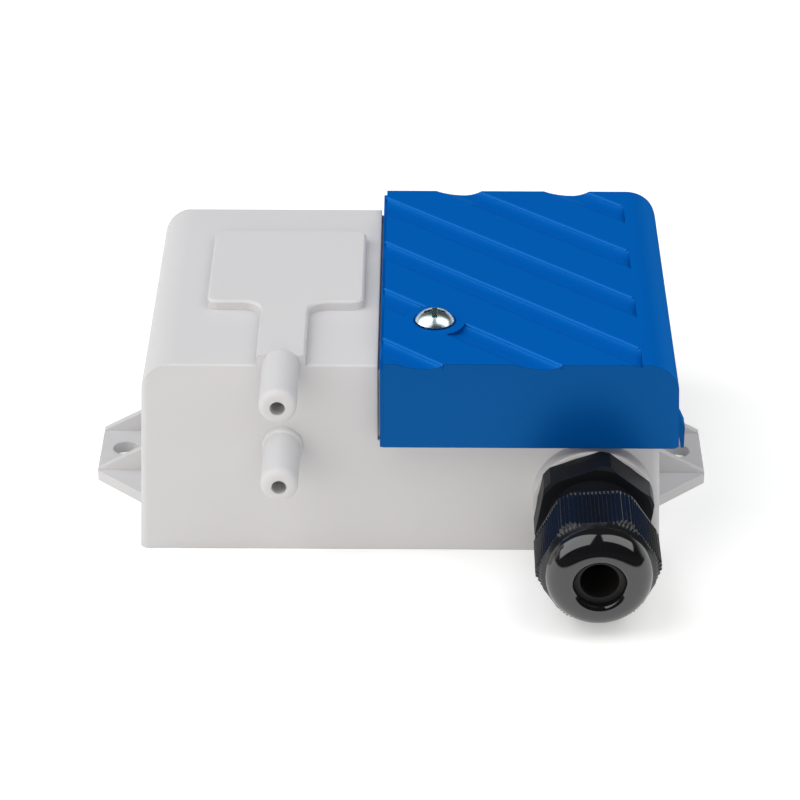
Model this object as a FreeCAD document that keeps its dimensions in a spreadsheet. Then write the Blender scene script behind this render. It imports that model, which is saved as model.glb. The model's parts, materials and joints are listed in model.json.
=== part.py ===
import FreeCAD, Part
import math
import os
from FreeCAD import Vector
import Sketcher

# Differential pressure transmitter: a drafted grey case with two hose nozzles and two screw lugs,
# a blue lid over the terminal compartment, and a cable gland.  Millimetres.  +Z is up from the
# mounting plane, -Y is the side of the nozzles and the gland, and the origin lies midway between
# the two lug holes on the mounting plane.

doc = FreeCAD.newDocument("pressure_transmitter")
sheet = doc.addObject("Spreadsheet::Sheet", "sizes")

DIMENSIONS = (
    # the case and its two lugs
    ("case_length", 90.0), ("case_width", 62.4), ("case_height", 35.6), ("case_shift", 0.6),
    ("draft", 0.0375), ("wall", 2.4), ("top_skin", 2.4), ("floor_thick", 2.4),
    ("shoulder", 5.4), ("corner_round", 1.3), ("edge_round", 0.4),
    ("seam_place", -3.8), ("seam_gap", 0.9), ("seam_drop", 1.0), ("rim_width", 3.8),
    ("waist_drop", 0.6),
    ("hole_margin", 5.0), ("hole_size", 4.5), ("lug_margin", 4.4), ("lug_tip", 15.5),
    ("lug_root", 33.0), ("lug_thick", 2.1), ("rib_thick", 1.4), ("rib_rise", 5.05),
    # the raised pressure duct on top and the two nozzles
    ("port_share", 0.6), ("port_shift", 0.18), ("duct_rise", 1.8), ("head_length", 27.3), ("head_width", 27.7),
    ("head_place", 4.35), ("head_round", 1.9), ("stem_width", 8.35), ("stem_round", 3.2),
    ("nozzle_size", 6.3), ("nozzle_bore", 2.5), ("nozzle_reach", 13.2), ("nozzle_nose", 1.3),
    ("port_drop", 0.2), ("port_spacing", 15.1), ("port_shoulder", 1.5), ("nozzle_flare", 0.4),
    # the lid, its grooves, tab and screw
    ("lid_rise", 2.2), ("lid_clear", 0.8), ("lid_proud", 3.5), ("lid_proud_side", 3.1),
    ("lid_wall", 2.4), ("lid_skin", 2.4), ("lid_shoulder", 5.6), ("lid_lip", 1.5),
    ("lid_inner_round", 2.0),
    ("groove_pitch", 18.25), ("groove_slope", 0.916), ("groove_width", 7.7), ("groove_steep", 2.9),
    ("groove_depth", 0.9), ("groove_place", 13.4), ("groove_end", 6.4), ("groove_count", 6),
    ("tab_width", 3.2), ("tab_place", -17.6), ("tab_flare", 2.1), ("tab_drop", 3.8),
    ("tab_length", 4.2), ("tab_thick", 1.1),
    ("lid_screw_inset", 5.8), ("lid_screw_depth", 9.7), ("lid_head_size", 6.7),
    ("lid_head_rise", 2.4), ("lid_head_sink", 0.4), ("lid_shank_size", 3.5), ("lid_shank", 14.6),
    ("lid_pad_size", 10.6), ("boss_size", 9.4), ("retainer_size", 6.4), ("retainer_thick", 1.0),
    ("retainer_depth", 6.9), ("gasket_thick", 0.8), ("gasket_width", 1.2),
    ("gasket_inset", 0.5),
    # the cable gland
    ("gland_inset", 12.0), ("gland_high", 10.9), ("gland_reach", 2.6), ("gland_boss", 20.6),
    ("hex_flats", 19.0), ("hex_thick", 5.5), ("hex_turn", 9.0), ("hex_trim", 21.0),
    ("gland_thread", 16.0), ("thread_in", 7.0), ("thread_out", 11.8), ("gland_bore", 9.2),
    ("claw_length", 5.9), ("claw_root", 14.0), ("claw_tip", 12.8), ("claw_bore", 11.0),
    ("claw_slot", 0.8), ("claw_count", 8), ("seal_size", 10.4), ("seal_bore", 6.5),
    ("seal_length", 10.0), ("ring_thick", 1.4), ("nut_start", 11.4), ("nut_corners", 21.0),
    ("nut_turn", 3.7), ("nut_grip", 9.2), ("nut_taper", 1.4), ("dome_base", 17.9),
    ("dome_round", 4.0), ("nut_mouth", 8.5),
    # the pressure cell under the duct head
    ("cell_size", 21.0), ("cell_wall", 2.0), ("cell_depth", 5.0), ("film_thick", 0.45),
    ("film_bead", 0.9), ("film_roll", 1.5), ("disc_size", 13.6), ("disc_thick", 0.9),
    ("pin_size", 1.6), ("pin_length", 3.2), ("clamp_thick", 2.2), ("clamp_screw_ring", 29.0),
    ("beam_width", 5.0), ("beam_thick", 0.8), ("beam_tail", 2.9), ("beam_reach", 5.0),
    ("seal_wall", 1.4), ("strip_width", 4.0), ("strip_thick", 0.25),
    ("strip_bend", 1.2), ("strip_lap", 2.0),
    # the back plate under the pressure cell
    ("plate_thick", 2.2), ("plate_sink", 0.3), ("plate_ledge", 1.2), ("plate_gasket", 0.6),
    ("post_size", 6.2), ("post_length", 10.0), ("small_screw", 2.5), ("small_head", 4.6),
    ("small_head_thick", 1.5), ("plate_screw_length", 9.0), ("cell_screw_bite", 3.5),
    ("board_screw_bite", 2.5),
    # the circuit board and the terminals
    ("board_low", 5.6), ("board_thick", 1.6), ("board_start", 5.0), ("board_margin", 2.2),
    ("wiring_space", 20.8), ("board_back_gap", 3.0), ("standoff_size", 5.4),
    ("pole_pitch", 5.08), ("terminal_shift", 3.0), ("terminal_depth", 8.4),
    ("terminal_height", 12.0), ("terminal_wall", 0.8), ("cage_length", 3.6), ("cage_width", 4.2),
    ("cage_height", 5.4), ("cage_wall", 0.6), ("cage_top", 1.4), ("cage_lift", 1.5),
    ("clamp_screw", 2.4), ("clamp_head", 3.6), ("clamp_head_thick", 1.4), ("tongue_thick", 0.6),
    ("chip_length", 8.7), ("chip_width", 3.9), ("chip_thick", 1.5), ("can_size", 6.3),
    ("can_height", 5.4), ("chip_shift", 5.0), ("can_shift", 9.0), ("can_step", 4.0),
    # clearances
    ("running", 0.05), ("slack", 0.3), ("fit_gap", 0.15),
)
for row, (alias, number) in enumerate(DIMENSIONS, 1):
    sheet.set(f"A{row}", alias)
    sheet.set(f"B{row}", str(number))
    sheet.setAlias(f"B{row}", alias)
doc.recompute()


class Size:
    # A length that carries its spreadsheet expression along with its present value.
    def __init__(self, text, value):
        self.text = text
        self.value = value

    def __add__(self, other):
        other = as_size(other)
        return Size(f"({self.text} + {other.text})", self.value + other.value)

    def __sub__(self, other):
        other = as_size(other)
        return Size(f"({self.text} - {other.text})", self.value - other.value)

    def __mul__(self, other):
        other = as_size(other)
        return Size(f"({self.text} * {other.text})", self.value * other.value)

    def __truediv__(self, other):
        other = as_size(other)
        return Size(f"({self.text} / {other.text})", self.value / other.value)

    def __neg__(self):
        return Size(f"(0 - {self.text})", -self.value)

    def __radd__(self, other):
        return as_size(other) + self

    def __rsub__(self, other):
        return as_size(other) - self

    def __rmul__(self, other):
        return as_size(other) * self


def as_size(number):
    return number if isinstance(number, Size) else Size(repr(float(number)), float(number))


class Sheet:
    # s.wall is the cell with the alias wall.
    def __getattr__(self, alias):
        return Size(f"sizes.{alias}", float(sheet.get(alias)))


s = Sheet()


# ---- small tools for bodies, sketches and features

def new_body(label, x=0, y=0, z=0):
    body = doc.addObject("PartDesign::Body", label)
    body.Label = label
    for axis, place in (("x", x), ("y", y), ("z", z)):
        body.setExpression(f"Placement.Base.{axis}", as_size(place).text)
    return body


def pin_point(sketch, geometry, point, x, y):
    for kind, length in (("DistanceX", x), ("DistanceY", y)):
        rule = Sketcher.Constraint(kind, -1, 1, geometry, point, length.value)
        sketch.setExpression(f"Constraints[{sketch.addConstraint(rule)}]", length.text)


def pin_radius(sketch, geometry, radius):
    rule = sketch.addConstraint(Sketcher.Constraint("Radius", geometry, radius.value))
    sketch.setExpression(f"Constraints[{rule}]", radius.text)


def arc_between(start, end, radius, left):
    # The short arc from start to end; its centre lies to the left of that direction, or right.
    chord = end - start
    side = Vector(-chord.y, chord.x, 0).normalize() * (1 if left else -1)
    reach = math.sqrt(max(radius * radius - chord.Length ** 2 / 4, 0))
    centre = start + chord / 2 + side * reach
    first, last = (start, end) if left else (end, start)
    angles = [math.atan2(p.y - centre.y, p.x - centre.x) for p in (first, last)]
    if angles[1] < angles[0]:
        angles[1] += 2 * math.pi
    return Part.ArcOfCircle(Part.Circle(centre, Vector(0, 0, 1), radius), *angles)


def draw(sketch, corners):
    # Closed outline.  A corner is (x, y), or (x, y, radius, "left" | "right") where an arc leaves it.
    corners = [tuple(as_size(c) if i < 3 else c for i, c in enumerate(corner)) for corner in corners]
    first = sketch.GeometryCount
    count = len(corners)
    ends = []
    for i, corner in enumerate(corners):
        start = Vector(corner[0].value, corner[1].value, 0)
        following = corners[(i + 1) % count]
        end = Vector(following[0].value, following[1].value, 0)
        if len(corner) == 2:
            sketch.addGeometry(Part.LineSegment(start, end), False)
            ends.append((1, 2))
        else:
            left = corner[3] == "left"
            sketch.addGeometry(arc_between(start, end, corner[2].value, left), False)
            ends.append((1, 2) if left else (2, 1))
    for i, corner in enumerate(corners):
        following = (i + 1) % count
        joint = Sketcher.Constraint("Coincident", first + i, ends[i][1],
                                    first + following, ends[following][0])
        sketch.addConstraint(joint)
        pin_point(sketch, first + i, ends[i][0], corner[0], corner[1])
        if len(corner) == 4:
            pin_radius(sketch, first + i, corner[2])


def draw_circle(sketch, x, y, diameter):
    x, y, radius = as_size(x), as_size(y), as_size(diameter) / 2
    centre = Vector(x.value, y.value, 0)
    geometry = sketch.addGeometry(Part.Circle(centre, Vector(0, 0, 1), radius.value), False)
    pin_point(sketch, geometry, 3, x, y)
    pin_radius(sketch, geometry, radius)


def box(x0, x1, y0, y1):
    return [(x0, y0), (x1, y0), (x1, y1), (x0, y1)]


def new_sketch(body, name, plane, shift=(0, 0, 0), outlines=(), circles=()):
    sketch = body.newObject("Sketcher::SketchObject", f"{body.Label}_{name}_sketch")
    support = next(f for f in body.Origin.OriginFeatures if f.Role == f"{plane}_Plane")
    sketch.AttachmentSupport = [(support, "")]
    sketch.MapMode = "FlatFace"
    for axis, place in zip("xyz", shift):
        sketch.setExpression(f"AttachmentOffset.Base.{axis}", as_size(place).text)
    for corners in outlines:
        draw(sketch, corners)
    for circle in circles:
        draw_circle(sketch, *circle)
    return sketch


def extrude(body, kind, name, plane, low, high, outlines=(), circles=()):
    # Between low and high along +Z on XY, +X on YZ, and Y on XZ, whose sketches face -Y.
    low, high = as_size(low), as_size(high)
    start = -high if plane == "XZ" else low
    profile = new_sketch(body, name, plane, (0, 0, start), outlines, circles)
    feature = body.newObject(f"PartDesign::{kind}", f"{body.Label}_{name}")
    feature.Profile = profile
    feature.setExpression("Length", (high - low).text)
    feature.Reversed = kind == "Pocket"
    return feature


def pad(body, *details, **drawn):
    return extrude(body, "Pad", *details, **drawn)


def pocket(body, *details, **drawn):
    return extrude(body, "Pocket", *details, **drawn)


def turn(body, kind, name, plane, axis, *outlines, shift=(0, 0, 0), circles=()):
    profile = new_sketch(body, name, plane, shift, outlines, circles)
    feature = body.newObject(f"PartDesign::{kind}", f"{body.Label}_{name}")
    feature.Profile = profile
    feature.ReferenceAxis = (profile, [axis])
    feature.Angle = 360
    return feature


def round_edges(body, name, radius, chosen, kind="Fillet"):
    doc.recompute()
    base = body.Tip
    names = [f"Edge{i}" for i, edge in enumerate(base.Shape.Edges, 1) if chosen(edge)]
    feature = body.newObject(f"PartDesign::{kind}", f"{body.Label}_{name}")
    feature.Base = (base, names)
    feature.setExpression("Radius" if kind == "Fillet" else "Size", as_size(radius).text)
    return feature


def near(number, target, within=0.05):
    return abs(number - target.value) < within


def spans(edge):
    bounds = edge.BoundBox
    return bounds.XLength, bounds.YLength, bounds.ZLength


# ---- places that several pieces share

case_left = -s.case_length / 2
case_right = s.case_length / 2
case_front = s.case_shift - s.case_width / 2
case_back = s.case_shift + s.case_width / 2
port_place = case_left + (s.seam_place - case_left) * s.port_share + s.port_shift
high_port = s.case_height - s.port_drop
low_port = high_port - s.port_spacing
gland_place = case_right - s.gland_inset
gland_face = case_front - s.gland_reach
hole_place = case_right + s.hole_margin
lid_top = s.case_height + s.lid_rise
lid_bottom = s.gland_high + s.gland_boss / 2 + s.lid_clear
ceiling = s.case_height - s.top_skin
rim_top = s.case_height - s.seam_drop
lid_left = s.seam_place + s.seam_gap
room_left = s.seam_place + s.rim_width
room_right = case_right - s.rim_width
room_front = case_front + s.rim_width
room_back = case_back - s.rim_width
lean = s.draft * s.case_height
cell_left = case_left + s.wall + lean
cell_right = room_left - s.wall
cell_front = case_front + s.wall + lean
cell_back = case_back - s.wall - lean
waist = lid_bottom - s.waist_drop
waist_front = case_front + s.draft * waist + s.seam_drop
waist_back = case_back - s.draft * waist - s.seam_drop
waist_right = case_right - s.draft * waist - s.seam_drop
lid_under = lid_top - s.lid_skin
plate_top = s.plate_sink + s.plate_thick
ledge = plate_top + s.plate_gasket
film_low = ceiling - s.cell_depth - s.film_bead
cell_rim = s.cell_size + 2 * s.cell_wall
pin_low = film_low - s.film_bead - s.disc_thick - s.pin_length
clamp_low = film_low - s.clamp_thick
beam_end = room_left + s.beam_reach
board_top = s.board_low + s.board_thick
board_left = room_left + s.board_start
board_right = room_right - s.board_margin
board_front = room_front + s.wiring_space
board_back = room_back - s.board_back_gap
board_mid = (board_left + board_right) / 2
board_deep = (board_front + board_back) / 2
terminal_front = board_front + s.fit_gap
retainer_floor = rim_top - s.retainer_depth
screw_spot = (room_left + s.lid_screw_inset, room_front + s.lid_screw_depth)
post_inset = s.wall + lean + s.post_size / 2 - s.fit_gap
posts = [(x, y)
         for x in (case_left + post_inset, cell_right + s.fit_gap - s.post_size / 2)
         for y in (case_front + post_inset, case_back - post_inset)]
cell_screw = s.clamp_screw_ring / 2 * math.sqrt(0.5)
cell_screws = [(port_place + i * cell_screw, s.head_place + j * cell_screw)
               for i in (-1, 1) for j in (-1, 1)]
post = s.standoff_size / 2
standoffs = [(board_left + post, board_back - post), (board_right - post, board_back - post)]
rests = [(board_left + post, board_front + post), (board_right - post, board_front + post)]


# ---- the case: one moulding with the lugs, the duct, the nozzles and the gland boss

def wedges(front, back, low, high, margin=3):
    # What a drafted front and back wall leave outside themselves, as two outlines in the YZ plane.
    return [[(front - margin, low), (front + s.draft * low, low),
             (front + s.draft * high, high), (front - margin, high)],
            [(back + margin, low), (back - s.draft * low, low),
             (back - s.draft * high, high), (back + margin, high)]]


def shoulder_cut(body, side, wall, top, radius):
    # What a rounded upper edge leaves outside itself; side is -1 for the left edge, 1 for the right.
    out = wall + side * 4
    pocket(body, "shoulder", "XZ", case_front - 8, case_back + 8, [[
        (out, top - radius), (wall, top - radius, radius, "left" if side > 0 else "right"),
        (wall - side * radius, top), (wall - side * radius, top + 4), (out, top + 4)]])


def build_case():
    case = new_body("housing")
    top = s.case_height
    duct_top = top + s.duct_rise
    high_left, high_right = case_left + s.draft * duct_top, case_right - s.draft * duct_top
    pad(case, "block", "XZ", case_front, case_back, [[
        (case_left, 0), (case_right, 0), (high_right, duct_top), (high_left, duct_top)]])
    pocket(case, "draft", "YZ", case_left - 5, case_right + 5,
           wedges(case_front, case_back, as_size(0), duct_top + 1))
    round_edges(case, "corners", s.corner_round, lambda e: spans(e)[2] > top.value)

    # raised duct on the top face: a square head and a stem that runs to the front edge
    head_left = port_place - s.head_length / 2
    head_right = port_place + s.head_length / 2
    head_front = s.head_place - s.head_width / 2
    head_back = s.head_place + s.head_width / 2
    stem_left = port_place - s.stem_width / 2
    stem_right = port_place + s.stem_width / 2
    stem_end = case_front - 2
    r, q = s.head_round, s.stem_round
    duct = [
        (stem_left, stem_end), (stem_right, stem_end),
        (stem_right, head_front - q, q, "right"), (stem_right + q, head_front),
        (head_right - r, head_front, r, "left"), (head_right, head_front + r),
        (head_right, head_back - r, r, "left"), (head_right - r, head_back),
        (head_left + r, head_back, r, "left"), (head_left, head_back - r),
        (head_left, head_front + r, r, "left"), (head_left + r, head_front),
        (stem_left - q, head_front, q, "right"), (stem_left, head_front - q)]
    pocket(case, "top", "XY", top, duct_top + 1, [
        box(case_left - 4, case_right + 4, case_front - 4, case_back + 4), duct])
    pocket(case, "ledge", "XY", rim_top, duct_top + 1, [
        box(s.seam_place, case_right + 4, case_front - 4, case_back + 4)])
    round_edges(case, "top_edges", s.edge_round, lambda e: near(e.BoundBox.ZMax, top)
                and near(e.BoundBox.ZMin, top) and spans(e)[0] > 5 and spans(e)[1] < 0.01
                and (e.BoundBox.YMin < case_front.value + 2 or e.BoundBox.YMax > case_back.value - 2))
    shoulder_cut(case, -1, case_left + s.draft * (top - s.shoulder), top, s.shoulder)
    round_edges(case, "duct_edges", s.edge_round, lambda e: near(e.BoundBox.ZMin, duct_top)
                and e.BoundBox.YMin > case_front.value + 2, "Chamfer")

    # the lid's skirt closes round a waist in the upper walls of the terminal compartment
    pocket(case, "waist", "XY", waist, top + 1, [[
        (s.seam_place, case_front - 2), (case_right + 2, case_front - 2),
        (case_right + 2, case_back + 2), (s.seam_place, case_back + 2),
        (s.seam_place, waist_back), (waist_right, waist_back), (waist_right, waist_front),
        (s.seam_place, waist_front)]])

    for sign in (-1, 1):
        build_lug(case, sign)

    # round boss for the gland
    pad(case, "gland_boss", "XZ", gland_face, case_front + s.wall, circles=[
        (gland_place, s.gland_high, s.gland_boss)])

    # two hose nozzles with rounded noses; the upper one springs from the end of the duct's stem
    nozzle = s.nozzle_size / 2
    root = case_front + s.port_shoulder + s.wall / 2
    tip = case_front - s.nozzle_reach
    nose = s.nozzle_nose
    flare = s.nozzle_flare
    rounded_root = [(root, nozzle - s.port_shoulder, s.port_shoulder, "left"),
                    (root - s.port_shoulder, nozzle)]
    flared_root = [(root, nozzle + flare), (case_front, nozzle + flare), (case_front - flare, nozzle)]
    for name, height, foot in (("high_port", high_port, rounded_root),
                               ("low_port", low_port, flared_root)):
        turn(case, "Revolution", name, "YZ", "H_Axis", [
            (tip, 0), (root, 0), *foot, (tip + nose, nozzle, nose, "left"),
            (tip, nozzle - nose)], shift=(0, height, port_place))

    # the sealed cell room, open below, and the terminal room, open above
    inner_round = s.shoulder - s.wall
    pocket(case, "cell_room", "XZ", cell_front, cell_back, [[
        (cell_left, -1), (cell_right, -1), (cell_right, ceiling),
        (cell_left + inner_round, ceiling, inner_round, "left"),
        (cell_left, ceiling - inner_round)]])
    pocket(case, "plate_seat", "XY", 0, ledge, [
        box(cell_left - s.plate_ledge, cell_right + s.plate_ledge,
            cell_front - s.plate_ledge, cell_back + s.plate_ledge)])
    pocket(case, "terminal_room", "XY", s.floor_thick, top + 1, [
        box(room_left, room_right, room_front, room_back)])

    # screw posts for the back plate, the screw boss for the lid, board stand-offs
    pad(case, "posts", "XY", ledge, ledge + s.post_length, circles=[
        (x, y, s.post_size) for x, y in posts])
    pad(case, "lid_boss", "XY", s.floor_thick / 2, rim_top, circles=[(*screw_spot, s.boss_size)])
    pad(case, "board_posts", "XY", s.floor_thick / 2, s.board_low, circles=[
        (x, y, s.standoff_size) for x, y in standoffs + rests])

    # the round cell wall and its screw bosses hang from the ceiling
    pad(case, "cell_wall", "XY", ceiling - s.cell_depth, ceiling + s.top_skin / 2, circles=[
        (port_place, s.head_place, cell_rim)])
    pad(case, "cell_bosses", "XY", ceiling - s.cell_depth, ceiling + s.top_skin / 2, circles=[
        (x, y, s.post_size) for x, y in cell_screws])
    pocket(case, "cell_hollow", "XY", ceiling - s.cell_depth, ceiling, circles=[
        (port_place, s.head_place, s.cell_size)])

    # bores
    pocket(case, "high_bore", "XZ", case_front - s.nozzle_reach - 1, s.head_place, circles=[
        (port_place, high_port, s.nozzle_bore)])
    pocket(case, "high_drop", "XY", ceiling - 1, high_port, circles=[
        (port_place, s.head_place, s.nozzle_bore)])
    pocket(case, "low_bore", "XZ", case_front - s.nozzle_reach - 1, cell_front + 1, circles=[
        (port_place, low_port, s.nozzle_bore)])
    pocket(case, "gland_hole", "XZ", gland_face - 1, room_front + 2, circles=[
        (gland_place, s.gland_high, s.gland_thread + 2 * s.running)])
    ring_room = s.gland_thread + 2 * s.ring_thick + 6 * s.running
    pocket(case, "ring_seat", "XZ", gland_face - 1, gland_face + s.ring_thick + 2 * s.running,
           circles=[(gland_place, s.gland_high, ring_room)])
    pocket(case, "lid_pilot", "XY", s.floor_thick + 4, rim_top + 1, circles=[
        (*screw_spot, s.lid_shank_size + 2 * s.running)])
    pocket(case, "retainer_well", "XY", retainer_floor, rim_top + 1, circles=[
        (*screw_spot, s.retainer_size + 2 * s.slack)])
    screw_hole = s.small_screw + 2 * s.running
    pocket(case, "post_holes", "XY", 0, ledge + s.post_length - 2, circles=[
        (x, y, screw_hole) for x, y in posts])
    pocket(case, "cell_holes", "XY", 0, ceiling - 1, circles=[
        (x, y, screw_hole) for x, y in cell_screws])
    pocket(case, "board_holes", "XY", s.floor_thick / 2, s.board_low + 1, circles=[
        (x, y, screw_hole) for x, y in standoffs])

    # slot through the partition for the beam and its rubber seal
    slot = s.beam_width / 2 + s.seal_wall
    rise = s.beam_thick / 2 + s.seal_wall
    beam_mid = pin_low - s.beam_thick / 2
    pocket(case, "beam_slot", "YZ", cell_right - 1, room_left + 1, [
        box(s.head_place - slot, s.head_place + slot, beam_mid - rise, beam_mid + rise)])
    return case


def build_lug(case, sign):
    side = "left" if sign < 0 else "right"
    tip = sign * (hole_place + s.lug_margin)
    root = sign * (s.case_length / 2 - s.wall / 2)
    spread = s.lug_root / 2
    half = s.lug_tip / 2
    pad(case, f"{side}_lug", "XY", 0, s.lug_thick, [[
        (root, -spread - s.wall / 2), (tip, -half), (tip, half), (root, spread + s.wall / 2)]])
    # two gusset ribs run from the lug's outer corners up the wall
    foot = s.lug_thick - 0.2
    for y in (-half, half - s.rib_thick):
        pad(case, f"{side}_rib_{'front' if y.value < 0 else 'back'}", "XZ", y, y + s.rib_thick, [[
            (root, foot), (tip, foot), (tip, s.lug_thick),
            (sign * s.case_length / 2, s.lug_thick + s.rib_rise),
            (root, s.lug_thick + s.rib_rise)]])
    pocket(case, f"{side}_hole", "XY", -1, s.lug_thick + 1, circles=[
        (sign * hole_place, 0, s.hole_size)])


# ---- the lid

def build_lid():
    lid = new_body("cover")
    front = case_front - s.lid_proud
    back = case_back + s.lid_proud
    right = case_right + s.lid_proud_side
    top = lid_top
    right_low = right - s.draft * lid_bottom
    right_top = right - s.draft * (top - s.lid_shoulder)
    pad(lid, "block", "XZ", front, back, [[
        (lid_left, lid_bottom), (right_low, lid_bottom), (right - s.draft * top, top),
        (lid_left, top)]])
    pocket(lid, "draft", "YZ", lid_left - 1, right + 1, wedges(front, back, as_size(0), top + 1))
    round_edges(lid, "corners", s.corner_round, lambda e: spans(e)[2] > 5
                and e.BoundBox.XMin > room_right.value)
    shoulder_cut(lid, 1, right_top, top, s.lid_shoulder)

    # shallow diagonal grooves, cut slantwise from the left edge to a wall before the shoulder
    groove_wall = right_top - s.groove_end
    steep, width, depth = s.groove_steep, s.groove_width, s.groove_depth
    gentle = width - steep
    big = (gentle * gentle + depth * depth) / (2 * depth)
    small = (steep * steep + depth * depth) / (2 * depth)
    grooves = []
    for i in range(int(s.groove_count.value)):
        crest = s.groove_place + (i - 2) * s.groove_pitch
        grooves.append([
            (crest - width, top, big, "left"), (crest - steep, top - depth, small, "left"),
            (crest, top), (crest, top + 1), (crest - width, top + 1)])
    cut = pocket(lid, "grooves", "YZ", lid_left, groove_wall, grooves)
    cut.UseCustomVector = True
    cut.AlongSketchNormal = True
    cut.Reversed = False
    cut.Direction = Vector(1, 0, 0)
    cut.setExpression("Direction.y", (-s.groove_slope).text)
    pad(lid, "screw_pad", "XY", top - s.groove_depth - 0.4, top, circles=[
        (*screw_spot, s.lid_pad_size)])

    # hollow: open below and at the seam, with a lip that rests on the rim of the case
    inner_right = right - s.lid_wall - s.draft * lid_bottom
    hollow = [[
        (front + s.lid_wall + s.draft * lid_bottom, lid_bottom - 1),
        (back - s.lid_wall - s.draft * lid_bottom, lid_bottom - 1),
        (back - s.lid_wall - s.draft * lid_under, lid_under),
        (front + s.lid_wall + s.draft * lid_under, lid_under)]]
    pocket(lid, "hollow", "YZ", lid_left + s.lid_lip, inner_right, hollow)
    mouth = [[
        (front + s.lid_wall + s.draft * lid_bottom, lid_bottom - 1),
        (back - s.lid_wall - s.draft * lid_bottom, lid_bottom - 1),
        (back - s.lid_wall - s.draft * rim_top, rim_top),
        (front + s.lid_wall + s.draft * rim_top, rim_top)]]
    pocket(lid, "mouth", "YZ", lid_left - 1, lid_left + s.lid_lip + 1, mouth)
    round_edges(lid, "hollow_shoulder", s.lid_inner_round, lambda e: spans(e)[1] > 40
                and near(e.BoundBox.XMin, inner_right) and near(e.BoundBox.ZMin, lid_under))

    # collar under the screw, the screw hole and the shallow sink for its head
    pad(lid, "collar", "XY", rim_top, lid_under + 0.5, circles=[(*screw_spot, s.boss_size)])
    pocket(lid, "screw_hole", "XY", rim_top - 1, top + 1, circles=[
        (*screw_spot, s.lid_shank_size + 2 * s.slack)])
    pocket(lid, "head_sink", "XY", top - s.lid_head_sink, top + 1, circles=[
        (*screw_spot, s.lid_head_size + 2 * s.slack)])

    # lifting tab: flares out of the skirt's lower edge, then hangs straight down
    skirt = right_low
    flare = s.tab_flare
    low = lid_bottom - s.tab_drop
    thick = s.tab_thick
    pad(lid, "tab", "XZ", s.tab_place - s.tab_width / 2, s.tab_place + s.tab_width / 2, [[
        (skirt - s.draft, lid_bottom + 1), (skirt + flare, low), (skirt + flare, low - s.tab_length),
        (skirt + flare - thick / 2, low - s.tab_length), (skirt + flare - thick, low - thick),
        (skirt - thick, lid_bottom - thick / 2), (skirt - thick, lid_bottom + 1)]])
    return lid


def build_lid_gasket():
    gasket = new_body("cover_gasket")
    edge = s.gasket_inset
    left, right = lid_left + s.lid_lip + s.fit_gap, waist_right - edge
    front, back = waist_front + edge, waist_back - edge
    width = s.gasket_width
    pad(gasket, "ring", "XY", rim_top, rim_top + s.gasket_thick, [
        box(left, right, front, back),
        box(left + width, right - width, front + width, back - width)])
    return gasket


def cross_recess(body, name, top, depth, arm, slot):
    # a cross-shaped driver recess: two crossed slots
    half = slot / 2
    pocket(body, f"{name}_a", "XY", top - depth, top + 1, [box(-arm, arm, -half, half)])
    pocket(body, f"{name}_b", "XY", top - depth, top + 1, [box(-half, half, -arm, arm)])


def build_lid_screw():
    seat = lid_top - s.lid_head_sink
    screw = new_body("cover_screw", *screw_spot, seat)
    shank = s.lid_shank_size / 2
    head = s.lid_head_size / 2
    rise = s.lid_head_rise
    brim = rise / 4
    dome = (head * head + (rise - brim) * (rise - brim)) / (2 * (rise - brim))
    turn(screw, "Revolution", "form", "XZ", "V_Axis", [
        (0, -s.lid_shank), (shank - 0.8, -s.lid_shank), (shank, 1 - s.lid_shank), (shank, 0),
        (head, 0), (head, brim, dome, "left"), (0, rise)])
    cross_recess(screw, "cross", rise, rise * 0.8, head * 0.55, head * 0.26)
    return screw


def build_retainer():
    retainer = new_body("screw_retainer", *screw_spot, retainer_floor + s.slack)
    pad(retainer, "washer", "XY", 0, s.retainer_thick, circles=[
        (0, 0, s.retainer_size), (0, 0, s.lid_shank_size + 2 * s.running)])
    return retainer


# ---- the cable gland, with its axis along Y

def hexagon(flats, turned):
    # Corners of a hexagon of this size across its flats; turned is the first corner's angle.
    across = flats / math.sqrt(3)
    angles = [math.radians(turned + 60 * i) for i in range(6)]
    return [(across * math.cos(angle), across * math.sin(angle)) for angle in angles]


def build_gland_body():
    gland = new_body("gland_body", gland_place, 0, s.gland_high)
    seat = gland_face
    face = seat - s.hex_thick
    thread = s.gland_thread / 2
    bore = s.gland_bore / 2
    pad(gland, "hexagon", "XZ", face, seat, [hexagon(s.hex_flats, 90 - s.hex_turn.value)])
    trim = s.hex_trim / 2
    turn(gland, "Groove", "hex_corners", "YZ", "H_Axis", [
        (seat + 1, trim), (face + 0.5, trim), (face - 0.5, trim - 1), (face - 0.5, trim + 2),
        (seat + 1, trim + 2)])
    end = face - s.thread_out
    claw_end = end - s.claw_length
    turn(gland, "Revolution", "barrel", "YZ", "H_Axis", [
        (seat + s.thread_in, 0), (seat + s.thread_in, thread - 0.5), (seat + s.thread_in - 0.5, thread),
        (end + 0.5, thread), (end, thread - 0.5), (end, s.claw_root / 2),
        (claw_end, s.claw_tip / 2), (claw_end, 0)])
    turn(gland, "Groove", "bore", "YZ", "H_Axis", [
        (seat + s.thread_in + 1, 0), (seat + s.thread_in + 1, bore), (seal_back, bore),
        (seal_back, s.claw_bore / 2), (claw_end - 1, s.claw_bore / 2), (claw_end - 1, 0)])
    # the slots that part the claws
    doc.recompute()
    slot = pocket(gland, "slot", "XZ", claw_end - 1, end - 0.4, [
        box(0, s.gland_thread, -s.claw_slot / 2, s.claw_slot / 2)])
    ring = gland.newObject("PartDesign::PolarPattern", "gland_claw_slots")
    ring.Originals = [slot]
    axis = next(f for f in gland.Origin.OriginFeatures if f.Role == "Y_Axis")
    ring.Axis = (axis, [""])
    ring.Angle = 360
    ring.setExpression("Occurrences", "sizes.claw_count")
    gland.Tip = ring
    return gland


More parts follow.
